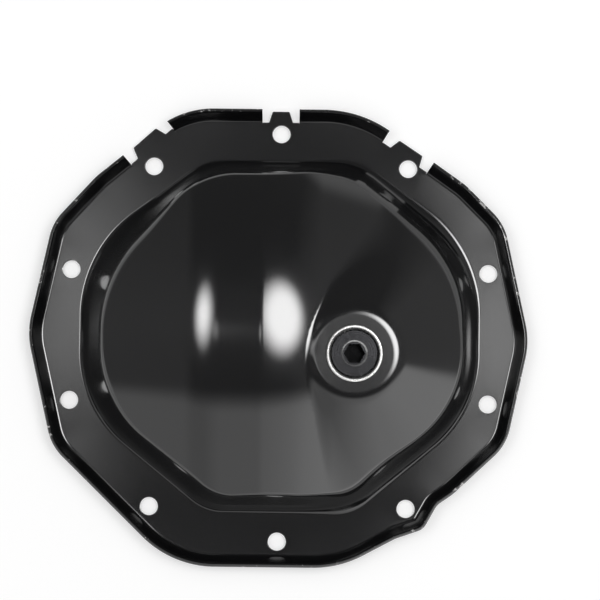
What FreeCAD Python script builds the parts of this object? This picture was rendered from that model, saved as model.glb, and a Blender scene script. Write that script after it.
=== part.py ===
"""Pressed steel differential cover with a screwed fill plug.

The gasket face is z = 0, +Z is the way the dome bulges and the origin is the middle of the bolt pattern.
X runs along the axle. The sheet is one pressing: a flat flange with a raised rim, three flat bolt tabs
between relief notches, and a steep-walled dome whose roof is a profile turned about the axle's direction.
"""
import FreeCAD, Part

import math
import os

from FreeCAD import Placement, Rotation, Vector

# Sheet
sheet = 2.0

# Bolt pattern, mirrored left to right and top to bottom
bolt_hole = 10.0
side_bolt_x = 117.0
side_bolt_y = 36.6
corner_bolt_x = 71.5
corner_bolt_y = 95.2
end_bolt_y = 114.1

# Raised rim round the flange, its flare measured from upright
rim_height = 8.0
rim_flare = 32.0
rim_bend = 2.5

# Corners of the rim's top edge as margins from the bolts: x, y, corner radius
rim_corners = (
    (side_bolt_x + 22.4, -1.3, 45.0),
    (side_bolt_x + 8.2, side_bolt_y + 27.5, 30.0),
    (side_bolt_x - 13.4, corner_bolt_y - 9.5, 40.0),
    (corner_bolt_x - 27.2, end_bolt_y + 13.4, 65.0),
    (-corner_bolt_x + 15.7, end_bolt_y + 13.4, 50.0),
    (-side_bolt_x + 13.6, corner_bolt_y - 6.7, 40.0),
    (-side_bolt_x - 10.3, side_bolt_y + 25.6, 30.0),
    (-side_bolt_x - 23.4, 0.7, 45.0),
    (-side_bolt_x - 8.8, -side_bolt_y - 25.5, 30.0),
    (-corner_bolt_x + 13.7, -end_bolt_y - 13.8, 58.0),
    (corner_bolt_x - 36.9, -end_bolt_y - 13.8, 60.0),
    (corner_bolt_x - 5.9, -corner_bolt_y - 16.2, 20.0),
    (corner_bolt_x + 9.6, -corner_bolt_y - 10.8, 8.0),
    (corner_bolt_x + 17.1, -corner_bolt_y + 2.6, 10.0),
    (corner_bolt_x + 25.8, -corner_bolt_y + 8.6, 30.0),
    (side_bolt_x + 9.8, -side_bolt_y - 22.4, 30.0),
)

# Flat bolt tabs, each standing in a gap in the rim and leaving a relief notch on either side
tab_spread = 2.0
tab_corner = 1.0
notch_depth = 6.2
notch_corner = 1.2
# Bolt x, bolt y, shift along the edge, reach beyond the bolt, angle of the edge, tab width, gap width
tabs = (
    (-corner_bolt_x, corner_bolt_y, 6.4, 15.6, 42.1, 16.8, 31.0),
    (0.0, end_bolt_y, -0.4, 12.8, 0.0, 9.4, 20.8),
    (corner_bolt_x, corner_bolt_y, -5.3, 10.6, -33.8, 15.6, 30.5),
)

# Outline of the dome's wall at the gasket face and at the crown height: x, y, corner radius
crown_height = 36.0
foot_corners = (
    (110.2, 47.4, 72.0),
    (43.2, 97.9, 34.0),
    (-42.3, 97.9, 34.0),
    (-109.9, 45.9, 72.0),
    (-109.9, -40.3, 67.0),
    (-39.6, -96.8, 28.0),
    (41.7, -96.8, 28.0),
    (110.2, -39.6, 66.0),
)
crown_corners = (
    (93.1, 23.8, 60.0),
    (30.4, 88.1, 44.0),
    (-44.5, 87.7, 46.0),
    (-97.7, 28.6, 74.0),
    (-96.7, -37.2, 65.0),
    (-33.0, -87.7, 28.0),
    (26.8, -85.2, 66.0),
    (102.4, -37.0, 60.0),
)

# Roof: turned over the hump about a line along the axle, bent once, then straight down the lower face
dome_height = 60.0
hump_radius = 170.0
roof_axis_depth = hump_radius - dome_height
roof_axis_y = 0.0
hump_end_tilt = 9.7
lower_face_tilt = 22.0
lower_bend_radius = 85.0
# Breaks in the roof's profile along the axle: x, slope beyond it in degrees, bend radius
left_slope = 19.2
roof_breaks = (
    (-40.3, 0.0, 57.0),
    (-9.0, -8.2, 22.0),
    (8.0, -24.5, 108.0),
    (60.0, -21.0, 150.0),
)

# Raised seat of the fill port, leaning towards +X
port_x = 40.7
port_y = -10.2
port_drop = 8.2
port_height = dome_height - port_drop
port_lean = 4.2
seat_radius = 24.5
seat_flank = 33.0

# Bushing, welded to the seat from behind
bushing_diameter = 30.2
bushing_proud = 1.0
bushing_length = 13.0
bushing_flange_diameter = 38.0
bushing_flange_thickness = 3.0
bushing_chamfer = 0.5
thread_diameter = 20.0
counterbore_diameter = 25.6
counterbore_depth = 3.6

# Screw plug and its sealing ring
collar_clearance = 0.3
collar_thickness = 2.2
collar_chamfer = 0.4
thread_clearance = 0.05
plug_length = 14.0
plug_recess_diameter = 14.0
plug_recess_depth = 0.8
hex_across_flats = 10.0
hex_depth = 7.0
seal_thickness = 1.0
seal_clearance = 0.3

# Rounding of the skin's bends, as the height over which two faces blend
foot_blend = 4.5
shoulder_blend = 5.0
seat_rim_blend = 3.0
seat_foot_blend = 4.0

# How finely the dome's skin is shaped: spokes round the port, and where the rings lie along each spoke,
# as distances from the foot, the shoulder and the seat's edge and as shares of the wall between them
spokes = 96
foot_rings = (7.0, 4.6, 3.0, 1.8, 0.8, 0.0, -0.9)
wall_shares = (0.5,)
shoulder_rings = (1.4, 0.5, -0.5, -1.6, -3.0, -5.5)
roof_rings = 10
flank_rings = (21.0, 15.0, 10.0, 6.0, 3.2, 1.4, 0.0, -1.4, -3.2, -6.0, -11.0)

# Working values: closeness of two heights or places, half the length of a drill
tolerance = 0.01
drill_reach = 6.0

bolts = [(x * side_bolt_x, y * side_bolt_y) for x in (-1, 1) for y in (-1, 1)]
bolts += [(x * corner_bolt_x, y * corner_bolt_y) for x in (-1, 1) for y in (-1, 1)]
bolts += [(0.0, y * end_bolt_y) for y in (-1, 1)]


def tangent_arc(before, corner, after, radius, inset):
    """Start, nearest point and end of the arc that rounds one corner of an outline moved inwards."""
    back = (before - corner).normalize()
    ahead = (after - corner).normalize()
    half = back.getAngle(ahead) / 2.0
    bisector = (back + ahead).normalize()
    moved = inset if back.cross(ahead).z < 0.0 else -inset
    bend = radius - moved
    middle = corner + bisector * (moved / math.sin(half))
    leg = bend / math.tan(half)
    return (middle + back * leg, middle + bisector * (bend / math.sin(half) - bend), middle + ahead * leg)


def rounded_outline(corners, z, inset=0.0):
    """Closed wire of straight sides and tangent arcs through anticlockwise corners, moved inwards."""
    points = [Vector(x, y, z) for x, y, radius in corners]
    following = points[1:] + points[:1]
    arcs = [tangent_arc(points[index - 1], points[index], following[index], corner[2], inset)
            for index, corner in enumerate(corners)]
    edges = []
    for (start, nearest, end), following_arc in zip(arcs, arcs[1:] + arcs[:1]):
        edges.append(Part.Arc(start, nearest, end).toShape())
        edges.append(Part.LineSegment(end, following_arc[0]).toShape())
    return Part.Wire(edges)


def turned(profile):
    """Solid turned about Z from a closed profile of radius, height."""
    points = [Vector(radius, 0.0, height) for radius, height in profile]
    return Part.Face(Part.makePolygon(points + points[:1])).revolve(Vector(), Vector(0.0, 0.0, 1.0), 360.0)


def level_edges(shape, z):
    """Edges lying wholly in the plane at a height."""
    return [edge for edge in shape.Edges
            if all(abs(height - z) < tolerance for height in (edge.BoundBox.ZMin, edge.BoundBox.ZMax))]


def tray(drop, floor, top):
    """Solid inside the rim, its side lying `drop` inside the rim's outer face."""
    slope = math.tan(math.radians(rim_flare))
    side_drop = drop / math.cos(math.radians(rim_flare))
    wires = [rounded_outline(rim_corners, z, (rim_height - z) * slope + side_drop) for z in (floor, top)]
    return Part.makeLoft(wires, True, True)


def flange():
    """Flat flange, not yet opened, with its rim bent up all the way round."""
    outside = tray(0.0, 0.0, rim_height)
    outside = outside.makeFillet(rim_bend + sheet, level_edges(outside, 0.0))
    inside = tray(sheet, sheet, rim_height + sheet)
    inside = inside.makeFillet(rim_bend, level_edges(inside, sheet))
    return outside.cut(inside)


def ramp(x, half):
    """Zero before a break and x after it, with a smooth bend over `half` on either side."""
    if abs(x) < half:
        return (x + half) ** 2 / (4.0 * half)
    return max(x, 0.0)


def profile_radius(x):
    """Distance of the roof's profile from the roof's axis at a place along the axle."""
    before = left_slope
    radius = hump_radius + (x - roof_breaks[0][0]) * math.tan(math.radians(before))
    for place, after, bend in roof_breaks:
        turn = math.tan(math.radians(after)) - math.tan(math.radians(before))
        radius += turn * ramp(x - place, bend * math.radians(abs(after - before)) / 2.0)
        before = after
    return radius


def roof_height(x, y):
    """Height of the roof: turned over the hump, bent once, then straight down the lower face."""
    radius = profile_radius(x)
    end_tilt = math.radians(hump_end_tilt)
    low_tilt = math.radians(lower_face_tilt)
    across = roof_axis_y - y
    if across <= radius * math.sin(end_tilt):
        return math.sqrt(max(radius ** 2 - across ** 2, 0.0)) - roof_axis_depth
    pivot = hump_radius - lower_bend_radius
    bend = radius - pivot
    across -= pivot * math.sin(end_tilt)
    height = pivot * math.cos(end_tilt) - roof_axis_depth
    if across <= bend * math.sin(low_tilt):
        return height + math.sqrt(bend ** 2 - across ** 2)
    return height + bend * math.cos(low_tilt) - (across - bend * math.sin(low_tilt)) * math.tan(low_tilt)


def lower_of(a, b, blend):
    """The lower of two heights, rounded where they cross."""
    near = max(blend - abs(a - b), 0.0) / blend
    return min(a, b) - near ** 2 * blend / 4.0


def higher_of(a, b, blend):
    """The higher of two heights, rounded where they cross."""
    return -lower_of(-a, -b, blend)


def seat_height(x, y):
    """Height of the port seat's leaning frustum."""
    level = port_height - (x - port_x) * math.tan(math.radians(port_lean))
    beyond = math.hypot(x - port_x, y - port_y) - seat_radius
    return lower_of(level, level - beyond * math.tan(math.radians(seat_flank)), seat_rim_blend)


def crown_height_above(x, y):
    """Height of the roof with the port's seat on it."""
    return higher_of(roof_height(x, y), seat_height(x, y), seat_foot_blend)


def reach(outline, angle):
    """Distance from the port to an outline in a direction, seen from above."""
    port = Vector(port_x, port_y, outline.BoundBox.ZMin)
    far = port + Vector(math.cos(angle), math.sin(angle), 0.0) * (2.0 * side_bolt_x)
    crossing = outline.distToShape(Part.makeLine(port, far))[1][0][0]
    return crossing.distanceToPoint(port)


def shoulder_reach(height_at, foot, crown):
    """Distance from the port at which the drafted wall meets the roof."""
    inner, outer = seat_radius, foot
    while outer - inner > tolerance:
        middle = (inner + outer) / 2.0
        if crown_height * (foot - middle) / (foot - crown) > height_at(middle):
            inner = middle
        else:
            outer = middle
    return inner


def spoke_points(angle, foot, crown):
    """Points of the dome's skin from the flange in to the port, in one direction from the port."""
    toward = Vector(math.cos(angle), math.sin(angle), 0.0)
    port = Vector(port_x, port_y, 0.0)

    def roof_at(out):
        place = port + toward * out
        return crown_height_above(place.x, place.y)

    shoulder = shoulder_reach(roof_at, foot, crown)
    outs = [foot + ring for ring in foot_rings]
    outs += [foot + foot_rings[-1] + (shoulder + shoulder_rings[0] - foot - foot_rings[-1]) * share
             for share in wall_shares]
    outs += [shoulder + ring for ring in shoulder_rings]
    start, end = outs[-1], seat_radius + flank_rings[0]
    outs += [start + (end - start) * ring / (roof_rings + 1.0) for ring in range(1, roof_rings + 1)]
    outs += [seat_radius + ring for ring in flank_rings]
    points = []
    for out in outs:
        wall = crown_height * (foot - out) / (foot - crown)
        height = higher_of(lower_of(wall, roof_at(out), shoulder_blend), sheet, foot_blend)
        points.append(port + toward * out + Vector(0.0, 0.0, height))
    return points


def inner_points(grid):
    """The skin's points moved in by the sheet's thickness along its normals."""
    count = len(grid)
    lean = math.radians(port_lean)
    inner = []
    for spoke, points in enumerate(grid):
        before, after = grid[spoke - 1], grid[(spoke + 1) % count]
        row = [points[0] - Vector(0.0, 0.0, sheet)]
        for ring in range(1, len(points) - 1):
            along = points[ring - 1] - points[ring + 1]
            normal = along.cross(after[ring] - before[ring]).normalize()
            row.append(points[ring] - normal * sheet)
        row.append(points[-1] - Vector(math.sin(lean), 0.0, math.cos(lean)) * sheet)
        inner.append(row)
    return inner


def skin(grid):
    """Smooth face over a net of points, closed round the port."""
    around, along = len(grid), len(grid[0])
    knots = [float(knot) for knot in range(along - 2)]
    surface = Part.BSplineSurface()
    surface.buildFromPolesMultsKnots(
        grid, [1] * (around + 1), [4] + [1] * (along - 4) + [4],
        [float(knot) for knot in range(around + 1)], knots, True, False, 3, 3)
    return surface.toShape()


def dome():
    """Sheet of the dome, from a strip of the flange round it in to the port."""
    foot = rounded_outline(foot_corners, 0.0)
    crown = rounded_outline(crown_corners, crown_height)
    angles = [2.0 * math.pi * spoke / spokes for spoke in range(spokes)]
    outer = [spoke_points(angle, reach(foot, angle), reach(crown, angle)) for angle in angles]
    inner = inner_points(outer)
    faces = [skin(outer), skin(inner)]
    rims = [[edge for edge in face.Edges if edge.Closed] for face in faces]
    faces += [Part.makeRuledSurface(*pair) for pair in zip(*rims)]
    shell = Part.makeShell([face for shape in faces for face in shape.Faces])
    shell.sewShape()
    body = Part.makeSolid(shell)
    if body.Volume < 0.0:
        body.reverse()
    return body, rims[0][0]


def plan_prism(corners, height, bolt, shift, ahead, angle):
    """Upright prism on a rounded outline, set out from a bolt along and across an edge at an angle."""
    prism = Part.Face(rounded_outline(corners, 0.0)).extrude(Vector(0.0, 0.0, height))
    turn = Rotation(Vector(0.0, 0.0, 1.0), angle)
    prism.Placement = Placement(bolt + turn.multVec(Vector(shift, ahead, 0.0)), turn)
    return prism


def tab_and_gap(x, y, shift, ahead, angle, width, gap):
    """Flat tab, and the gap to cut for it in the flange and the rim."""
    half, half_gap = width / 2.0, gap / 2.0
    spread = half + tab_spread
    root = notch_depth + 2.0 * sheet
    clear = rim_height + sheet
    tab = plan_prism(((half, 0.0, tab_corner), (-half, 0.0, tab_corner), (-spread, -notch_depth, tab_corner),
                      (-spread, -root, tab_corner), (spread, -root, tab_corner),
                      (spread, -notch_depth, tab_corner)), sheet, Vector(x, y, 0.0), shift, ahead, angle)
    opening = plan_prism(((half_gap, clear, notch_corner), (-half_gap, clear, notch_corner),
                          (-half_gap, -notch_depth, notch_corner), (half_gap, -notch_depth, notch_corner)),
                         sheet + clear, Vector(x, y, -sheet), shift, ahead, angle)
    return tab, opening


def drilled(shape, radius, placement):
    """Shape with a round hole through the sheet."""
    drill = Part.makeCylinder(radius, 2.0 * drill_reach, Vector(0.0, 0.0, -drill_reach))
    drill.Placement = placement.multiply(drill.Placement)
    return shape.cut(drill)


def cover_shell():
    """The whole pressing."""
    body, loop = dome()
    plate = flange()
    for tab, gap in [tab_and_gap(*sizes) for sizes in tabs]:
        plate = plate.cut(gap).fuse(tab)
    hole = Part.Face(Part.Wire(loop)).extrude(Vector(0.0, 0.0, -sheet))
    shell = plate.cut(hole).fuse(body)
    for x, y in bolts:
        shell = drilled(shell, bolt_hole / 2.0, Placement(Vector(x, y, 0.0), Rotation()))
    return drilled(shell, bushing_diameter / 2.0, port_placement()).removeSplitter().Solids[0]


def port_placement():
    """Place of the middle of the seat's outer face, its axis square to the seat."""
    return Placement(Vector(port_x, port_y, port_height), Rotation(Vector(0.0, 1.0, 0.0), port_lean))


def fill_port_bushing():
    """Threaded bushing with a counterbore outside and a welding flange inside."""
    outer, bore = bushing_diameter / 2.0, thread_diameter / 2.0
    counterbore, flange_radius = counterbore_diameter / 2.0, bushing_flange_diameter / 2.0
    bottom = bushing_proud - bushing_length
    under = -sheet - bushing_flange_thickness
    cut = bushing_chamfer
    body = turned([
        (counterbore + cut, bushing_proud), (outer - cut, bushing_proud), (outer, bushing_proud - cut),
        (outer, -sheet), (flange_radius, -sheet), (flange_radius, under), (outer, under), (outer, bottom),
        (bore, bottom), (bore, bushing_proud - counterbore_depth),
        (counterbore, bushing_proud - counterbore_depth), (counterbore, bushing_proud - cut)])
    body.Placement = port_placement()
    return body


def fill_plug():
    """Screw plug whose collar sits in the counterbore, with a hex socket in a round recess."""
    collar = counterbore_diameter / 2.0 - collar_clearance
    under = bushing_proud - counterbore_depth + seal_thickness
    top = under + collar_thickness
    shank = thread_diameter / 2.0 - thread_clearance
    recess, cut = plug_recess_diameter / 2.0, collar_chamfer
    body = turned([
        (0.0, top - plug_recess_depth), (recess - plug_recess_depth, top - plug_recess_depth), (recess, top),
        (collar - cut, top), (collar, top - cut), (collar, under), (shank, under),
        (shank, top - plug_length), (0.0, top - plug_length)])
    corner = hex_across_flats / (2.0 * math.cos(math.pi / 6.0))
    corners = [Vector(corner * math.cos(side * math.pi / 3.0), corner * math.sin(side * math.pi / 3.0), top)
               for side in range(7)]
    socket = Part.Face(Part.makePolygon(corners)).extrude(Vector(0.0, 0.0, -hex_depth))
    body = body.cut(socket).Solids[0]
    body.Placement = port_placement()
    return body


def plug_seal():
    """Flat sealing ring under the plug's collar."""
    outer = counterbore_diameter / 2.0 - 2.0 * collar_clearance
    inner = thread_diameter / 2.0 + seal_clearance
    floor = bushing_proud - counterbore_depth
    ring = turned([(inner, floor), (outer, floor), (outer, floor + seal_thickness),
                   (inner, floor + seal_thickness)])
    ring.Placement = port_placement()
    return ring


if __name__ == "__main__":
    os.makedirs("parts", exist_ok=True)
    for name, make in (("cover_shell", cover_shell), ("fill_port_bushing", fill_port_bushing),
                       ("fill_plug", fill_plug), ("plug_seal", plug_seal)):
        shape = make()
        print(name, len(shape.Solids), len(shape.Faces), shape.isValid(), round(shape.Volume))
        shape.exportStep("parts/" + name + ".step")
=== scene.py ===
"""Looks of a pressed steel differential cover: black paint, a bright port rim and a dark fill plug."""
import math

import bpy
import numpy as np
from mathutils import Matrix, Vector
from mathutils.geometry import delaunay_2d_cdt


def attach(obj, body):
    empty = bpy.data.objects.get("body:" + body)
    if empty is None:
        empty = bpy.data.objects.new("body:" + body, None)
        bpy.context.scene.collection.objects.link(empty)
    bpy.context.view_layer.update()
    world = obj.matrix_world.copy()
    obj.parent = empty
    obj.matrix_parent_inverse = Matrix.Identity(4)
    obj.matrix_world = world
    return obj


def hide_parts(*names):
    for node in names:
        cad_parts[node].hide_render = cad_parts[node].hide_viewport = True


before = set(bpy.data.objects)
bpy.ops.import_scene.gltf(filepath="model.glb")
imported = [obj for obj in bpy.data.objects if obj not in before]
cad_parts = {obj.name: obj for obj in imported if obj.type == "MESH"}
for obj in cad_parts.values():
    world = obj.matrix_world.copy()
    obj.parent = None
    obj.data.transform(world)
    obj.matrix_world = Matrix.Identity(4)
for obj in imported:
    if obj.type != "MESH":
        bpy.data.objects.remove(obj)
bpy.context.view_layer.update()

# Sizes in millimetres, as in the solids but for the blends round the seat and the wall's foot
sheet = 2.0
side_bolt = (117.0, 36.6)
corner_bolt = (71.5, 95.2)
end_bolt_y = 114.1
bolt_radius = 5.0
rim_height = 8.0
rim_flare = math.radians(32.0)
rim_bend = 2.5
# Corners of the lip's top edge: x, y, corner radius
rim_corners = (
    (139.4, -1.3, 45.0), (125.2, 64.1, 30.0), (103.6, 85.7, 40.0), (44.3, 127.5, 65.0),
    (-55.8, 127.5, 50.0), (-103.4, 88.5, 40.0), (-127.3, 62.2, 30.0), (-140.4, 0.7, 45.0),
    (-125.8, -62.1, 30.0), (-57.8, -127.9, 58.0), (34.6, -127.9, 60.0), (65.6, -111.4, 20.0),
    (81.1, -106.0, 8.0), (88.6, -92.6, 10.0), (97.3, -86.6, 30.0), (126.8, -59.0, 30.0),
)
tab_spread = 2.0
tab_corner = 1.0
tab_foot = 0.5
notch_depth = 6.2
notch_corner = 1.1
notch_spare = 0.02
gap_reach = 25.0
# Bolt x, bolt y, shift along the edge, reach beyond the bolt, angle of the edge, tab width, gap width
tabs = (
    (corner_bolt[0], corner_bolt[1], -5.3, 10.6, -33.8, 15.6, 30.5),
    (0.0, end_bolt_y, -0.4, 12.8, 0.0, 9.4, 20.8),
    (-corner_bolt[0], corner_bolt[1], 6.4, 15.6, 42.1, 16.8, 31.0),
)
# Outlines of the dome's wall at the gasket face and at the crown height: x, y, corner radius
crown_height = 36.0
foot_corners = (
    (110.2, 47.4, 72.0), (43.2, 97.9, 34.0), (-42.3, 97.9, 34.0), (-109.9, 45.9, 72.0),
    (-109.9, -40.3, 67.0), (-39.6, -96.8, 28.0), (41.7, -96.8, 28.0), (110.2, -39.6, 66.0),
)
crown_corners = (
    (93.1, 23.8, 60.0), (30.4, 88.1, 44.0), (-44.5, 87.7, 46.0), (-97.7, 28.6, 74.0),
    (-96.7, -37.2, 65.0), (-33.0, -87.7, 28.0), (26.8, -85.2, 66.0), (102.4, -37.0, 60.0),
)
dome_height = 60.0
hump_radius = 170.0
roof_axis_depth = hump_radius - dome_height
roof_axis_y = 0.0
hump_end_tilt = math.radians(9.7)
lower_face_tilt = math.radians(22.0)
lower_bend_radius = 85.0
left_slope = 19.2
# Breaks in the roof's profile along the axle: x, slope beyond it in degrees, bend radius
roof_breaks = ((-40.3, 0.0, 57.0), (-9.0, -8.2, 22.0), (8.0, -24.5, 108.0), (60.0, -21.0, 150.0))
port = np.array((40.7, -10.2))
port_drop = 8.2
port_height = dome_height - port_drop
port_lean = math.radians(4.2)
seat_radius = 24.5
seat_flank = math.radians(33.0)
port_hole = 15.1
foot_blend = 7.5
shoulder_blend = 5.0
seat_rim_blend = 2.2
# The seat's crease with the roof is tight up to an x, then grows softer
seat_foot_tight = 1.6
seat_foot_blend = 5.0
tight_until = 18.0
tight_fade = 12.0
edge = 0.3
edge_middle = 0.09
# Where the lip's paint is most chipped, and the distances from there over which the chips thin out
worn_place = (115.0, 74.0, 8.0)
worn_near, worn_far = 10.0, 32.0
# Half the bright ring's fade, and the depths from the seat over which painted shade darkens the plug's
# socket
bright_fade = 0.35
socket_shade_deep, socket_shade_shallow = -6.0, -2.0
to_metres = 0.001

# How finely the pressing is divided: spokes from the port and the roof's pitch, outside and inside
outer_spokes, outer_pitch = 720, 1.3
inner_spokes, inner_pitch = 360, 2.6
port_steps = 240
hole_steps = 72
lip_steps = 12
# Rings beyond the wall's foot, up the wall, about its shoulder and beyond the seat's radius
foot_steps = (4.4, 3.6, 2.9, 2.3, 1.7, 1.2, 0.7, 0.2, -0.3, -0.8, -1.4)
wall_shares = (0.25, 0.5, 0.75, 1.0)
wall_end_step = 2.2
shoulder_steps = (1.8, 1.4, 1.0, 0.6, 0.2, -0.2, -0.6, -1.0, -1.5, -2.0, -2.6, -3.3, -4.2)
seat_steps = (14.0, 12.0, 10.0, 8.2, 6.6, 5.2, 4.0, 3.0, 2.2, 1.6, 1.2, 0.9, 0.6, 0.3, 0.0, -0.3, -0.6,
              -0.9, -1.3, -2.0, -4.0, -6.5)


# Form

def outline(corners, inset, arc_points, side_points):
    """Points round a closed outline of tangent arcs and straight sides, moved inwards."""
    places = np.array(corners)[:, :2]
    following = np.roll(places, -1, axis=0)
    arcs = []
    for index, here in enumerate(places):
        back = places[index - 1] - here
        ahead = following[index] - here
        back = back / np.linalg.norm(back)
        ahead = ahead / np.linalg.norm(ahead)
        half = math.acos(float(back @ ahead)) / 2.0
        bisector = (back + ahead) / np.linalg.norm(back + ahead)
        moved = inset if back[0] * ahead[1] < back[1] * ahead[0] else -inset
        bend = corners[index][2] - moved
        middle = here + bisector * moved / math.sin(half)
        centre = middle + bisector * bend / math.sin(half)
        start = middle + back * bend / math.tan(half) - centre
        end = middle + ahead * bend / math.tan(half) - centre
        first = math.atan2(start[1], start[0])
        swing = (math.atan2(end[1], end[0]) - first + math.pi) % (2.0 * math.pi) - math.pi
        angles = first + swing * np.linspace(0.0, 1.0, arc_points)
        arcs.append(centre + bend * np.stack([np.cos(angles), np.sin(angles)], 1))
    points = []
    for index, arc in enumerate(arcs):
        start, end = arc[-1], arcs[(index + 1) % len(arcs)][0]
        points.append(arc)
        points.append(start + (end - start) * np.linspace(0.0, 1.0, side_points + 2)[1:-1, None])
    return np.concatenate(points)


def ramp(x, half):
    """Zero, then x, with a parabola between them from -half to half."""
    return np.where(np.abs(x) < half, (x + half) ** 2 / (4.0 * half), np.maximum(x, 0.0))


def roof(x, y):
    """Height of the roof: a profile turned over the hump, bent once, then straight down the lower face."""
    before = left_slope
    radius = hump_radius + (x - roof_breaks[0][0]) * math.tan(math.radians(before))
    for place, after, bend in roof_breaks:
        turn = math.tan(math.radians(after)) - math.tan(math.radians(before))
        radius = radius + turn * ramp(x - place, bend * math.radians(abs(after - before)) / 2.0)
        before = after
    across = roof_axis_y - y
    hump = np.sqrt(np.maximum(radius ** 2 - across ** 2, 0.0)) - roof_axis_depth
    pivot = hump_radius - lower_bend_radius
    bend = radius - pivot
    past = across - pivot * math.sin(hump_end_tilt)
    base = pivot * math.cos(hump_end_tilt) - roof_axis_depth
    bent = base + np.sqrt(np.maximum(bend ** 2 - past ** 2, 0.0))
    slope = math.tan(lower_face_tilt)
    lower = base + bend * math.cos(lower_face_tilt) - (past - bend * math.sin(lower_face_tilt)) * slope
    low = np.where(past <= bend * math.sin(lower_face_tilt), bent, lower)
    return np.where(across <= radius * math.sin(hump_end_tilt), hump, low)


def lower_of(a, b, blend):
    """Lower of two heights, rounded where they differ by less than the blend."""
    near = np.maximum(blend - np.abs(a - b), 0.0) / blend
    return np.minimum(a, b) - near ** 2 * blend / 4.0


def higher_of(a, b, blend):
    """Higher of two heights, rounded in the same way."""
    return -lower_of(-a, -b, blend)


def seat(x, y):
    """Height of the leaning fill port seat, its flank going on outwards as a cone."""
    level = port_height - (x - port[0]) * math.tan(port_lean)
    beyond = np.hypot(x - port[0], y - port[1]) - seat_radius
    return lower_of(level, level - beyond * math.tan(seat_flank), seat_rim_blend)


def crown(x, y):
    """Roof and seat. Their crease is tight on the seat's left and softer round the rest of it."""
    share = np.clip((x - tight_until) / tight_fade, 0.0, 1.0)
    blend = seat_foot_tight + (seat_foot_blend - seat_foot_tight) * share * share * (3.0 - 2.0 * share)
    return higher_of(roof(x, y), seat(x, y), blend)


def reach_table(corners, count=2880):
    """Distance from the port to an outline, for evenly spaced directions."""
    points = outline(corners, 0.0, 90, 60) - port
    angle = np.unwrap(np.arctan2(points[:, 1], points[:, 0]))
    radius = np.hypot(points[:, 0], points[:, 1])
    asked = np.arange(count) * 2.0 * math.pi / count
    angle = np.concatenate([angle - 2.0 * math.pi, angle, angle + 2.0 * math.pi, angle + 4.0 * math.pi])
    return np.interp(asked, angle, np.tile(radius, 4))


foot_table = reach_table(foot_corners)
crown_table = reach_table(crown_corners)


def from_table(values, angle):
    """Value at an angle, between evenly spaced ones."""
    share = (angle / (2.0 * math.pi) % 1.0) * len(values)
    low = np.floor(share).astype(int)
    part = share - low
    return values[low % len(values)] * (1.0 - part) + values[(low + 1) % len(values)] * part


def skin_height(x, y):
    """Height of the pressed skin over the dome and the strip of flange round it."""
    out = np.hypot(x - port[0], y - port[1])
    angle = np.arctan2(y - port[1], x - port[0])
    foot, top = from_table(foot_table, angle), from_table(crown_table, angle)
    wall = crown_height * (foot - out) / (foot - top)
    return higher_of(lower_of(wall, crown(x, y), shoulder_blend), sheet, foot_blend)


def skin_normals(x, y, step=0.05):
    """Unit normals of the pressed skin, from its heights close by."""
    along = (skin_height(x + step, y) - skin_height(x - step, y)) / (2.0 * step)
    across = (skin_height(x, y + step) - skin_height(x, y - step)) / (2.0 * step)
    normals = np.stack([-along, -across, np.ones_like(along)], 1)
    return normals / np.linalg.norm(normals, axis=1)[:, None]


def shoulder_table(angles):
    """Distance from the port at which the wall meets the roof."""
    foot, top = from_table(foot_table, angles), from_table(crown_table, angles)
    low, high = np.full_like(angles, seat_radius), foot.copy()
    for _ in range(16):
        middle = (low + high) / 2.0
        wall = crown_height * (foot - middle) / (foot - top)
        above = wall > crown(port[0] + middle * np.cos(angles), port[1] + middle * np.sin(angles))
        low = np.where(above, middle, low)
        high = np.where(above, high, middle)
    return low


class Sheet:
    """Collects points in millimetres, their normals where known, faces, and what each face is."""

    def __init__(self):
        self.points, self.normals, self.faces, self.kinds = [], [], [], []
        self.count = 0

    def add(self, points, normals=None):
        """Takes points in and returns their indices."""
        points = np.asarray(points, float)
        first = self.count
        self.points.append(points)
        self.normals.append(np.zeros_like(points) if normals is None else normals)
        self.count += len(points)
        return np.arange(first, self.count)

    def face(self, faces, kind, flip=False):
        """Takes faces in, each a list of indices."""
        for one in faces:
            self.faces.append(tuple(int(i) for i in (one[::-1] if flip else one)))
            self.kinds.append(kind)

    def rows(self, rows, kind, closed=True, flip=False):
        """Quads between rows of indices."""
        rows = np.array(rows)
        nxt = np.roll(rows, -1, axis=1) if closed else rows[:, 1:]
        now = rows if closed else rows[:, :-1]
        quads = np.stack([now[:-1], nxt[:-1], nxt[1:], now[1:]], -1).reshape(-1, 4)
        self.face(quads, kind, flip)


def fill(shell, rings, inner_points, kind, flip=False):
    """Triangles between index rings, the first of them outside, with loose points between them."""
    everything = np.concatenate(shell.points)
    ids = np.concatenate(list(rings) + [inner_points])
    flat = [Vector((p[0], p[1])) for p in everything[ids]]
    edges, polygons, start = [], [], 0
    for ring in rings:
        size = len(ring)
        edges += [(start + i, start + (i + 1) % size) for i in range(size)]
        polygons.append(np.array([[p.x, p.y] for p in flat[start:start + size]]))
        start += size
    points, _, faces, origin, _, _ = delaunay_2d_cdt(flat, edges, [], 0, 1e-7)
    places = np.array([[p.x, p.y] for p in points])
    centre = np.array([places[list(face)].mean(axis=0) for face in faces])
    keep = inside(polygons[0], centre)
    for hole in polygons[1:]:
        keep &= ~inside(hole, centre)
    shell.face([[ids[origin[i][0]] for i in f] for f, good in zip(faces, keep) if good], kind, flip)


def inside(polygon, points):
    """Even-odd test of points in a closed polygon."""
    x, y = points[:, 0], points[:, 1]
    result = np.zeros(len(points), bool)
    for (ax, ay), (bx, by) in zip(polygon, np.roll(polygon, -1, axis=0)):
        crossing = (ay > y) != (by > y)
        if by != ay:
            result ^= crossing & (x < (bx - ax) * (y - ay) / (by - ay) + ax)
    return result


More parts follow.
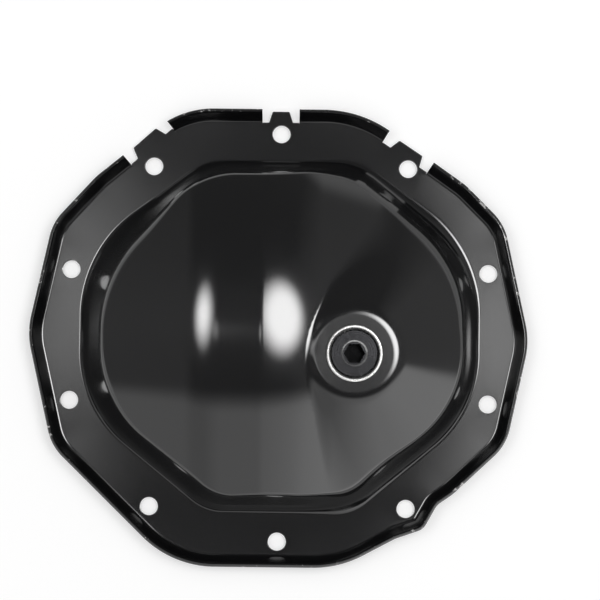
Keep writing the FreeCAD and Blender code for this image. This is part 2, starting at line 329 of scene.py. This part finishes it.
def dome_side(shell, spokes, pitch, outside):
    """Outer or inner side of the dome. Returns its ring in the flange and its ring at the port."""
    angles = np.arange(spokes) * 2.0 * math.pi / spokes
    toward = np.stack([np.cos(angles), np.sin(angles)], 1)
    foot, shoulder = from_table(foot_table, angles), shoulder_table(angles)

    def ring(out):
        plan = port + toward * out[:, None]
        return surface(plan)

    def surface(plan):
        x, y = plan[:, 0], plan[:, 1]
        normals = skin_normals(x, y)
        points = np.stack([x, y, skin_height(x, y)], 1)
        if outside:
            return shell.add(points, normals)
        return shell.add(points - normals * sheet, -normals)

    outs = [foot + step for step in foot_steps]
    wall_start, wall_end = foot + foot_steps[-1], shoulder + wall_end_step
    outs += [wall_start + (wall_end - wall_start) * share for share in wall_shares]
    outs += [shoulder + step for step in shoulder_steps]
    rows = [ring(out) for out in outs]
    shell.rows(rows, "paint", flip=not outside)
    seat_angles = np.arange(port_steps) * 2.0 * math.pi / port_steps
    seat_toward = np.stack([np.cos(seat_angles), np.sin(seat_angles)], 1)
    seat_rows = [surface(port + seat_toward * (seat_radius + step)) for step in seat_steps]
    shell.rows(seat_rows, "paint", flip=not outside)
    lean = np.array([math.sin(port_lean), 0.0, math.cos(port_lean)])
    hole = port_ring(port_steps, 0.0 if outside else -sheet, port_hole + (edge if outside else 0.0))
    hole_ids = shell.add(hole, np.tile(lean if outside else -lean, (port_steps, 1)))
    shell.rows([seat_rows[-1], hole_ids], "paint", flip=not outside)
    xs = grid_lines(-100.0, 104.0, pitch, roof_breaks[1][0])
    ys = grid_lines(-92.0, 94.0, pitch)
    grid = np.stack(np.meshgrid(xs, ys), -1).reshape(-1, 2)
    out = np.hypot(*(grid - port).T)
    clear = 0.6 * pitch
    limit = from_table(shoulder + shoulder_steps[-1] - clear, np.arctan2(*(grid - port).T[::-1]))
    kept = grid[(out < limit) & (out > seat_radius + seat_steps[0] + clear)]
    fill(shell, [rows[-1], seat_rows[0]], surface(kept), "paint", flip=not outside)
    return rows[0], hole_ids


def grid_lines(start, end, pitch, fine_at=None, fine_half=2.2):
    """Evenly spaced values, closer together near one place if it is given."""
    values = [start]
    while values[-1] < end:
        near = fine_at is not None and abs(values[-1] - fine_at) <= fine_half
        values.append(values[-1] + (pitch / 3.0 if near else pitch))
    return np.array(values)


def port_ring(count, height, radius):
    """Ring of points square to the leaning port axis."""
    angles = np.arange(count) * 2.0 * math.pi / count
    x, y = radius * np.cos(angles), radius * np.sin(angles)
    sine, cosine = math.sin(port_lean), math.cos(port_lean)
    return np.stack([port[0] + x * cosine + height * sine, port[1] + y,
                     port_height - x * sine + height * cosine], 1)


def rim_profile():
    """Insets and heights of the rim's section, its upper side, the lip's edge and its underside."""
    turn = math.pi / 2.0 - rim_flare
    flat = rim_height * math.tan(rim_flare) + (rim_bend + sheet) * math.tan(turn / 2.0)
    centre = (flat, sheet + rim_bend)
    upper = [(centre[0] - rim_bend * math.sin(t), centre[1] - rim_bend * math.cos(t))
             for t in np.linspace(0.0, turn, lip_steps)]
    lower = [(centre[0] - (rim_bend + sheet) * math.sin(t), centre[1] - (rim_bend + sheet) * math.cos(t))
             for t in np.linspace(turn, 0.0, lip_steps)]
    out = np.array([-math.sin(rim_flare), math.cos(rim_flare)])
    across = np.array([math.cos(rim_flare), math.sin(rim_flare)])
    tip = np.array([0.0, rim_height])
    inner = tip + across * sheet
    soft, corner, below = 0.35, 0.105, 2.5
    lip = [inner - out * below, inner - out * soft, inner - (out + across) * corner, inner - across * soft,
           tip + across * soft, tip - (out - across) * corner, tip - out * soft, tip - out * below]
    return upper, [tuple(p) for p in lip], lower


def clipped(points, enter, leave, count):
    """Part of a closed outline after one tab's gap and before the next tab's, evenly spaced."""
    ring = np.concatenate([points, points])
    length = np.concatenate([[0.0], np.cumsum(np.hypot(*np.diff(ring, axis=0).T))])
    total = length[len(points)]

    def crossing(gap, side):
        origin, along, ahead = tab_frame(gap)
        local = (ring - origin) @ along - side
        near = np.abs((ring - origin) @ ahead) < gap_reach
        hits = [i for i in range(len(points)) if local[i] >= 0.0 > local[i + 1] and near[i]]
        i = hits[0]
        return length[i] + (length[i + 1] - length[i]) * local[i] / (local[i] - local[i + 1])

    start = crossing(enter, -tabs[enter][6] / 2.0)
    end = crossing(leave, tabs[leave][6] / 2.0)
    if end < start:
        end += total
    at = np.linspace(start, end, count)
    return np.stack([np.interp(at, length, ring[:, 0]), np.interp(at, length, ring[:, 1])], 1)


def tab_frame(index):
    """Middle of a tab's end, the direction along its edge and the one outwards."""
    x, y, shift, ahead, angle = tabs[index][:5]
    along = np.array([math.cos(math.radians(angle)), math.sin(math.radians(angle))])
    across = np.array([-along[1], along[0]])
    return np.array([x, y]) + along * shift + across * ahead, along, across


def rounded(path, radii, steps=7):
    """Open path with its inner corners rounded."""
    path = [np.array(p) for p in path]
    result = [path[0]]
    for before, here, after, radius in zip(path, path[1:], path[2:], radii):
        back, ahead = before - here, after - here
        back, ahead = back / np.linalg.norm(back), ahead / np.linalg.norm(ahead)
        half = math.acos(np.clip(back @ ahead, -1.0, 1.0)) / 2.0
        leg = radius / math.tan(half)
        start, end = here + back * leg, here + ahead * leg
        for share in np.linspace(0.0, 1.0, steps):
            result.append((1 - share) ** 2 * start + 2 * share * (1 - share) * here + share ** 2 * end)
    result.append(path[-1])
    return np.array(result)


def flange_and_rim(shell, dome_top, dome_bottom):
    """Flat flange with its holes, tabs and notches, and the flared rim between the gaps."""
    upper, lip, lower = rim_profile()
    section = upper + lip + lower
    insets = [inset for inset, height in section]
    heights = [height for inset, height in section]
    rings = [outline(rim_corners, inset, 40, 30) for inset in insets]
    # Points along each stretch of rim: two short ones between the tabs and the long way round
    counts = (60, 60, 700)
    boundary_top, boundary_low, gaps = [], [], []
    for index, count in enumerate(counts):
        following = (index + 1) % len(tabs)
        rows = []
        for ring, height in zip(rings, heights):
            plan = clipped(ring, index, following, count)
            rows.append(shell.add(np.column_stack([plan, np.full(count, height)])))
        first, last = lip_steps + 1, lip_steps + 6
        shell.rows(rows[:first + 1], "paint", closed=False, flip=True)
        shell.rows(rows[first:last + 1], "lip", closed=False, flip=True)
        shell.rows(rows[last:], "paint", closed=False, flip=True)
        shell.face([[row[0] for row in rows]], "cut", flip=True)
        shell.face([[row[-1] for row in rows]], "cut")
        here = np.concatenate(shell.points)
        start = here[rows[0][-1]][:2]
        gap = tabs[following]
        origin, along, across = tab_frame(following)
        half, half_gap = gap[5] / 2.0, gap[6] / 2.0
        spread = half + tab_spread
        next_start = clipped(rings[0], following, (following + 1) % len(tabs), 3)[0]
        enter, leave = (start - origin) @ across, (next_start - origin) @ across
        local = [(half_gap, enter), (half_gap, -notch_depth), (spread, -notch_depth), (half, 0.0),
                 (-half, 0.0), (-spread, -notch_depth), (-half_gap, -notch_depth), (-half_gap, leave)]
        radii = [min(notch_corner, -notch_depth - end - notch_spare) for end in (enter, leave)]
        curve = rounded(local, (radii[0], tab_foot, tab_corner, tab_corner, tab_foot, radii[1]))
        plan = origin + curve[:, :1] * along + curve[:, 1:] * across
        inward = np.gradient(plan, axis=0)
        inward = np.stack([-inward[:, 1], inward[:, 0]], 1)
        inward /= np.linalg.norm(inward, axis=1)[:, None]
        soft = np.full(len(plan), edge)
        soft[0] = soft[-1] = 0.0
        top = plan + inward * soft[:, None]
        strips = []
        for place, height in ((top, sheet), (plan, sheet - edge), (plan, edge), (top, 0.0)):
            way = [0.0, 0.0, 1.0 if height > edge else -1.0] if place is top else [0.0, 0.0, 0.0]
            strips.append(shell.add(np.column_stack([place, np.full(len(place), height)])[1:-1],
                                    np.tile(way, (len(place) - 2, 1))))
        boundary_top.append(np.concatenate([rows[0], strips[0]]))
        boundary_low.append(np.concatenate([rows[-1], strips[3]]))
        shell.rows(strips, "cut", closed=False, flip=True)
        gaps.append((strips, rows))
    close_ends(shell, gaps)
    top_ring = np.concatenate(boundary_top)
    low_ring = np.concatenate(boundary_low)
    top_holes, low_holes = [], []
    places = [(x * side_bolt[0], y * side_bolt[1]) for x in (-1, 1) for y in (-1, 1)]
    places += [(x * corner_bolt[0], y * corner_bolt[1]) for x in (-1, 1) for y in (-1, 1)]
    places += [(0.0, end_bolt_y), (0.0, -end_bolt_y)]
    turn = np.arange(hole_steps) * 2.0 * math.pi / hole_steps
    circle = np.stack([np.cos(turn), np.sin(turn)], 1)
    for place in places:
        ids = []
        for radius, height, way in ((bolt_radius + edge, sheet, 1.0),
                                    (bolt_radius + edge_middle, sheet - edge_middle, 0.0),
                                    (bolt_radius, sheet - edge, 0.0), (bolt_radius, edge, 0.0),
                                    (bolt_radius + edge, 0.0, -1.0)):
            ring = np.array(place) + circle * radius
            ids.append(shell.add(np.column_stack([ring, np.full(hole_steps, height)]),
                                 np.tile([0.0, 0.0, way], (hole_steps, 1))))
        shell.rows(ids, "cut")
        top_holes.append(ids[0])
        low_holes.append(ids[-1])
    fill(shell, [top_ring, dome_top] + top_holes, np.array([], int), "paint")
    fill(shell, [low_ring, dome_bottom] + low_holes, np.array([], int), "paint", flip=True)


def close_ends(shell, gaps):
    """Fills the small faces where the gaps' edges meet the rim's ends."""
    for index, (strips, rows) in enumerate(gaps):
        following = gaps[(index + 1) % len(gaps)][1]
        start, end = [one[0] for one in strips], [one[-1] for one in strips]
        shell.face([[rows[0][-1], *start, rows[-1][-1]]], "cut", flip=True)
        shell.face([[following[0][0], *end, following[-1][0]]], "cut")


def finished(shell, name, materials):
    """Mesh object from the collected faces, smooth, with sharp edges and the known normals."""
    points = np.concatenate(shell.points) * to_metres
    mesh = bpy.data.meshes.new(name)
    mesh.from_pydata(points.tolist(), [], shell.faces)
    kinds = list(materials)
    for kind in kinds:
        mesh.materials.append(materials[kind])
    mesh.polygons.foreach_set("material_index", [kinds.index(kind) for kind in shell.kinds])
    mesh.polygons.foreach_set("use_smooth", [True] * len(shell.faces))
    mesh.update()
    mesh.validate(clean_customdata=False)
    mesh.set_sharp_from_angle(angle=math.radians(32.0))
    known = np.concatenate(shell.normals)
    corners = np.empty(len(mesh.loops) * 3)
    mesh.corner_normals.foreach_get("vector", corners)
    corners = corners.reshape(-1, 3)
    vertex = np.empty(len(mesh.loops), int)
    mesh.loops.foreach_get("vertex_index", vertex)
    stated = known[vertex]
    # A known normal is used where it is near the face's own
    use = (np.abs(stated).sum(1) > 0.5) & ((stated * corners).sum(1) > 0.8)
    corners[use] = stated[use]
    mesh.normals_split_custom_set(corners.tolist())
    piece = bpy.data.objects.new(name, mesh)
    bpy.context.scene.collection.objects.link(piece)
    return piece


# Materials

def material(name, colour, roughness, metallic=0.0):
    """Principled material and handy makers for its nodes."""
    made = bpy.data.materials.new(name)
    made.use_nodes = True
    nodes, links = made.node_tree.nodes, made.node_tree.links
    shader = nodes["Principled BSDF"]
    shader.inputs["Base Color"].default_value = (*colour, 1.0)
    shader.inputs["Roughness"].default_value = roughness
    shader.inputs["Metallic"].default_value = metallic
    made.diffuse_color = (*colour, 1.0)
    return made, nodes, links, shader


def noise(nodes, links, where, scale, detail):
    """Even noise at a place."""
    node = nodes.new("ShaderNodeTexNoise")
    node.inputs["Scale"].default_value = scale
    node.inputs["Detail"].default_value = detail
    links.new(where, node.inputs["Vector"])
    return node.outputs["Fac"]


def remap(nodes, links, value, low, high, to_low, to_high):
    """A value's share of one range taken to another."""
    node = nodes.new("ShaderNodeMapRange")
    node.inputs["From Min"].default_value = low
    node.inputs["From Max"].default_value = high
    node.inputs["To Min"].default_value = to_low
    node.inputs["To Max"].default_value = to_high
    links.new(value, node.inputs["Value"])
    return node.outputs["Result"]


def bump(nodes, links, height, distance, strength):
    """Normals of a surface raised by a height."""
    node = nodes.new("ShaderNodeBump")
    node.inputs["Strength"].default_value = strength
    node.inputs["Distance"].default_value = distance
    links.new(height, node.inputs["Height"])
    return node.outputs["Normal"]


def mix(nodes, links, share, a, b):
    """Colour between two, each a colour or a socket."""
    node = nodes.new("ShaderNodeMix")
    node.data_type = "RGBA"
    links.new(share, node.inputs["Factor"])
    for socket, value in ((node.inputs["A"], a), (node.inputs["B"], b)):
        if isinstance(value, tuple):
            socket.default_value = (*value, 1.0)
        else:
            links.new(value, socket)
    return node.outputs["Result"]


def paint(name, chipped):
    """Semi-gloss black paint with a faint orange peel and, on cut edges, chips that crowd at one place."""
    made, nodes, links, shader = material(name, (0.004, 0.004, 0.0044), 0.3)
    shader.inputs["Specular IOR Level"].default_value = 0.05
    shader.inputs["Coat Weight"].default_value = 1.0
    shader.inputs["Coat Roughness"].default_value = 0.1
    where = nodes.new("ShaderNodeTexCoord").outputs["Object"]
    peel = noise(nodes, links, where, 420.0, 3.0)
    waves = noise(nodes, links, where, 60.0, 2.0)
    rough = remap(nodes, links, waves, 0.3, 0.7, 0.25, 0.31)
    links.new(rough, shader.inputs["Roughness"])
    normal = bump(nodes, links, peel, 0.00002, 0.6)
    links.new(normal, shader.inputs["Normal"])
    if chipped:
        spots = noise(nodes, links, where, 260.0, 6.0)
        away = nodes.new("ShaderNodeVectorMath")
        away.operation = "DISTANCE"
        away.inputs[1].default_value = tuple(size * to_metres for size in worn_place)
        links.new(where, away.inputs[0])
        scuffed = nodes.new("ShaderNodeMath")
        scuffed.operation = "ADD"
        links.new(spots, scuffed.inputs[0])
        links.new(remap(nodes, links, away.outputs["Value"], worn_near * to_metres, worn_far * to_metres,
                        0.12, 0.0), scuffed.inputs[1])
        share = remap(nodes, links, scuffed.outputs[0], 0.62, 0.67, 0.0, 1.0)
        links.new(mix(nodes, links, share, (0.0115, 0.0115, 0.012), (0.42, 0.415, 0.41)),
                  shader.inputs["Base Color"])
    return made


def metal(name, colour, dull, roughness, marks, bright_radius=0.0):
    """Turned metal with fine marks round the port's axis, dull inside a radius; or else dull on its flats,
    with a painted highlight on its steep faces and painted shade deep in its socket.
    """
    made, nodes, links, shader = material(name, colour, roughness, 1.0)
    where = nodes.new("ShaderNodeTexCoord").outputs["Object"]
    offset = nodes.new("ShaderNodeVectorMath")
    offset.operation = "SUBTRACT"
    offset.inputs[1].default_value = (port[0] * to_metres, port[1] * to_metres, port_height * to_metres)
    links.new(where, offset.inputs[0])
    turned = nodes.new("ShaderNodeMapping")
    turned.vector_type = "POINT"
    turned.inputs["Rotation"].default_value = (0.0, -port_lean, 0.0)
    links.new(offset.outputs[0], turned.inputs["Vector"])
    parts = nodes.new("ShaderNodeSeparateXYZ")
    links.new(turned.outputs["Vector"], parts.inputs[0])
    flat = nodes.new("ShaderNodeCombineXYZ")
    links.new(parts.outputs["X"], flat.inputs["X"])
    links.new(parts.outputs["Y"], flat.inputs["Y"])
    radius = nodes.new("ShaderNodeVectorMath")
    radius.operation = "LENGTH"
    links.new(flat.outputs[0], radius.inputs[0])
    rings = nodes.new("ShaderNodeTexNoise")
    rings.noise_dimensions = "1D"
    rings.inputs["Scale"].default_value = marks
    rings.inputs["Detail"].default_value = 3.0
    links.new(radius.outputs["Value"], rings.inputs["W"])
    patches = noise(nodes, links, where, 200.0, 4.0)
    links.new(bump(nodes, links, rings.outputs["Fac"], 0.00004, 0.7), shader.inputs["Normal"])
    links.new(remap(nodes, links, patches, 0.35, 0.65, roughness - 0.05, roughness + 0.08),
              shader.inputs["Roughness"])
    if bright_radius:
        machined_ring_and_painted_highlight = remap(nodes, links, radius.outputs["Value"], (bright_radius - bright_fade) * to_metres,
                     (bright_radius + bright_fade) * to_metres, 0.0, 1.0)
    else:
        facing = nodes.new("ShaderNodeSeparateXYZ")
        links.new(nodes.new("ShaderNodeNewGeometry").outputs["True Normal"], facing.inputs[0])
        # Painted highlight: the plug's steep faces, the socket's walls among them, take the bright steel
        # colour and its flats the dark one
        machined_ring_and_painted_highlight = remap(nodes, links, facing.outputs["Z"], 0.75, 0.98, 1.0, 0.0)
        # Painted shade: the flats' dark colour grows darker still towards the socket's bottom
        painted_socket_shade = remap(nodes, links, parts.outputs["Z"], socket_shade_deep * to_metres, socket_shade_shallow * to_metres,
                    0.0, 1.0)
        dull = mix(nodes, links, painted_socket_shade, tuple(c * 0.15 for c in dull), dull)
    bright = mix(nodes, links, remap(nodes, links, patches, 0.45, 0.7, 0.0, 0.6), colour,
                 tuple(c * 0.72 for c in colour))
    links.new(mix(nodes, links, machined_ring_and_painted_highlight, dull, bright), shader.inputs["Base Color"])
    return made


def rubber(name):
    """Dull black rubber with a fine grain."""
    made, nodes, links, shader = material(name, (0.012, 0.012, 0.012), 0.75)
    where = nodes.new("ShaderNodeTexCoord").outputs["Object"]
    grain = noise(nodes, links, where, 900.0, 3.0)
    links.new(bump(nodes, links, grain, 0.00002, 0.5), shader.inputs["Normal"])
    links.new(remap(nodes, links, grain, 0.3, 0.7, 0.68, 0.82), shader.inputs["Roughness"])
    return made


# The pressing
shell = Sheet()
top_ring, top_hole = dome_side(shell, outer_spokes, outer_pitch, True)
low_ring, low_hole = dome_side(shell, inner_spokes, inner_pitch, False)
hole_edge = shell.add(port_ring(port_steps, -edge, port_hole))
shell.rows([top_hole, hole_edge, low_hole], "paint")
flange_and_rim(shell, top_ring, low_ring)
paints = {"paint": paint("black_paint", False), "lip": paint("black_paint_lip", True),
          "cut": paint("black_paint_cut", True)}
cover = finished(shell, "cover_pressing", paints)
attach(cover, "root")
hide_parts("cover_shell")

# Finishes of the pieces that are shown as they are in the solids
for node, made in (("fill_port_bushing", metal("machined_steel", (0.42, 0.415, 0.41), (0.03, 0.03, 0.03),
                                               0.24, 1800.0, 14.0)),
                   ("fill_plug", metal("dark_steel", (0.3, 0.3, 0.3), (0.016, 0.016, 0.017), 0.24, 1500.0)),
                   ("plug_seal", rubber("seal_rubber"))):
    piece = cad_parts[node]
    piece.data.materials.clear()
    piece.data.materials.append(made)
    for polygon in piece.data.polygons:
        polygon.use_smooth = True
    piece.data.set_sharp_from_angle(angle=math.radians(30.0))

# Floor
floor_mesh = bpy.data.meshes.new("floor")
reach, level = 6.0, -0.0002
floor_mesh.from_pydata([(-reach, -reach, level), (reach, -reach, level), (reach, reach, level),
                        (-reach, reach, level)], [], [(0, 1, 2, 3)])
floor = bpy.data.objects.new("floor", floor_mesh)
bpy.context.scene.collection.objects.link(floor)


def seen_white(nodes, links):
    """One for camera, glossy and transmission rays."""
    path = nodes.new("ShaderNodeLightPath")
    first = nodes.new("ShaderNodeMath")
    first.operation = "MAXIMUM"
    links.new(path.outputs["Is Camera Ray"], first.inputs[0])
    links.new(path.outputs["Is Glossy Ray"], first.inputs[1])
    both = nodes.new("ShaderNodeMath")
    both.operation = "MAXIMUM"
    links.new(first.outputs[0], both.inputs[0])
    links.new(path.outputs["Is Transmission Ray"], both.inputs[1])
    return both.outputs[0]


floor_look = bpy.data.materials.new("floor")
floor_look.use_nodes = True
nodes, links = floor_look.node_tree.nodes, floor_look.node_tree.links
base = nodes["Principled BSDF"]
base.inputs["Base Color"].default_value = (0.7, 0.7, 0.7, 1.0)
base.inputs["Roughness"].default_value = 0.9
base.inputs["Specular IOR Level"].default_value = 0.0
grain = nodes.new("ShaderNodeTexNoise")
grain.inputs["Scale"].default_value = 900.0
links.new(bump(nodes, links, grain.outputs["Fac"], 0.00005, 0.2), base.inputs["Normal"])
glow = nodes.new("ShaderNodeEmission")
glow.inputs["Color"].default_value = (1.0, 1.0, 1.0, 1.0)
links.new(remap(nodes, links, seen_white(nodes, links), 0.0, 1.0, 0.0, 0.38), glow.inputs["Strength"])
both = nodes.new("ShaderNodeAddShader")
links.new(base.outputs[0], both.inputs[0])
links.new(glow.outputs[0], both.inputs[1])
links.new(both.outputs[0], nodes["Material Output"].inputs["Surface"])
floor_mesh.materials.append(floor_look)

# The world: pale at the horizon, dark overhead, with soft bright patches as from a studio's boxes
world = bpy.data.worlds.new("studio")
bpy.context.scene.world = world
world.use_nodes = True
nodes, links = world.node_tree.nodes, world.node_tree.links
back = nodes["Background"]
back.inputs["Color"].default_value = (1.0, 1.0, 1.0, 1.0)
sky = nodes.new("ShaderNodeSeparateXYZ")
links.new(nodes.new("ShaderNodeTexCoord").outputs["Generated"], sky.inputs[0])


def maths(operation, a, b):
    """Sum, product or the like of two values, each a number or a socket."""
    node = nodes.new("ShaderNodeMath")
    node.operation = operation
    for socket, value in zip(node.inputs, (a, b)):
        if isinstance(value, float):
            socket.default_value = value
        else:
            links.new(value, socket)
    return node.outputs[0]


def smooth(value, low, high, to_low, to_high):
    """As remap, with soft ends."""
    made = remap(nodes, links, value, low, high, to_low, to_high)
    made.node.interpolation_type = "SMOOTHSTEP"
    return made


upright = maths("MAXIMUM", sky.outputs["Z"], 0.02)
across_sky = maths("DIVIDE", sky.outputs["X"], upright)
along_sky = maths("DIVIDE", sky.outputs["Y"], upright)


def patch(across, upward, half_width, half_height, soft, radiance):
    """Round bright patch at angles from the upright, in degrees, fading out over its edge."""
    parts = []
    for value, centre, half in ((across_sky, across, half_width), (along_sky, upward, half_height)):
        middle = math.tan(math.radians(centre))
        size = math.tan(math.radians(centre + half)) - middle
        scaled = maths("DIVIDE", maths("SUBTRACT", value, middle), size)
        parts.append(maths("MULTIPLY", scaled, scaled))
    far = maths("SQRT", maths("ADD", *parts), 0.0)
    return smooth(far, 1.0 - soft, 1.0 + soft, radiance, 0.0)


sides = remap(nodes, links, maths("ABSOLUTE", sky.outputs["X"], 0.0), 0.5, 0.72, 0.0, 0.3)
front = maths("MULTIPLY", smooth(along_sky, -0.85, -0.36, 1.0, 0.0),
              remap(nodes, links, across_sky, -0.5, 1.2, 0.95, 2.2))
seen_sky = maths("ADD", smooth(sky.outputs["Z"], 0.06, 0.2, 1.0, 0.2), sides)
# The two studio boxes, and two faint patches that light the flange's sides
for light in (front, patch(-21.5, 9.5, 8.0, 9.0, 0.8, 19.0), patch(27.5, 9.5, 10.5, 13.0, 0.42, 20.5),
              patch(-7.0, 3.0, 2.8, 2.9, 1.0, 3.4), patch(5.0, 2.2, 2.8, 2.6, 1.0, 5.0)):
    seen_sky = maths("ADD", seen_sky, light)
strength = nodes.new("ShaderNodeMix")
strength.data_type = "FLOAT"
links.new(seen_white(nodes, links), strength.inputs["Factor"])
strength.inputs["A"].default_value = 0.55
links.new(seen_sky, strength.inputs["B"])
links.new(strength.outputs["Result"], back.inputs["Strength"])


# Lights
def softbox(name, across, upward, half_width, half_height, radiance, distance=1.5):
    """Area light seen from the cover at angles from the upright, towards +X and +Y, in degrees."""
    way = Vector((math.tan(math.radians(across)), math.tan(math.radians(upward)), 1.0)).normalized()
    right = Vector((0.0, 1.0, 0.0)).cross(way).normalized()
    data = bpy.data.lights.new(name, "AREA")
    data.shape = "RECTANGLE"
    data.size = 2.0 * distance * math.tan(math.radians(half_width))
    data.size_y = 2.0 * distance * math.tan(math.radians(half_height))
    data.energy = radiance * math.pi * data.size * data.size_y
    lamp = bpy.data.objects.new(name, data)
    lamp.matrix_world = Matrix.Translation(way * distance) @ Matrix(
        (right, way.cross(right), way)).transposed().to_4x4()
    lamp.visible_camera = False
    lamp.visible_glossy = False
    bpy.context.scene.collection.objects.link(lamp)


softbox("left_box", -31.0, 8.0, 12.0, 17.0, 2.0)
softbox("right_box", 28.0, 8.0, 13.0, 18.0, 3.0)

# Camera
camera_data = bpy.data.cameras.new("camera")
camera_data.lens = 106.8
camera_data.sensor_width = 36.0
camera_data.clip_start = 0.05
camera = bpy.data.objects.new("camera", camera_data)
bpy.context.scene.collection.objects.link(camera)
eye, target, roll = Vector((0.0114, -0.036, 0.998)), Vector((0.0114, 0.0208, 0.0)), math.radians(0.6445)
forward = (target - eye).normalized()
up = Vector((-math.sin(roll), math.cos(roll), 0.0))
right = forward.cross(up).normalized()
up = right.cross(forward)
camera.matrix_world = Matrix.Translation(eye) @ Matrix((right, up, -forward)).transposed().to_4x4()
bpy.context.scene.camera = camera

bpy.context.scene.view_settings.view_transform = "Standard"
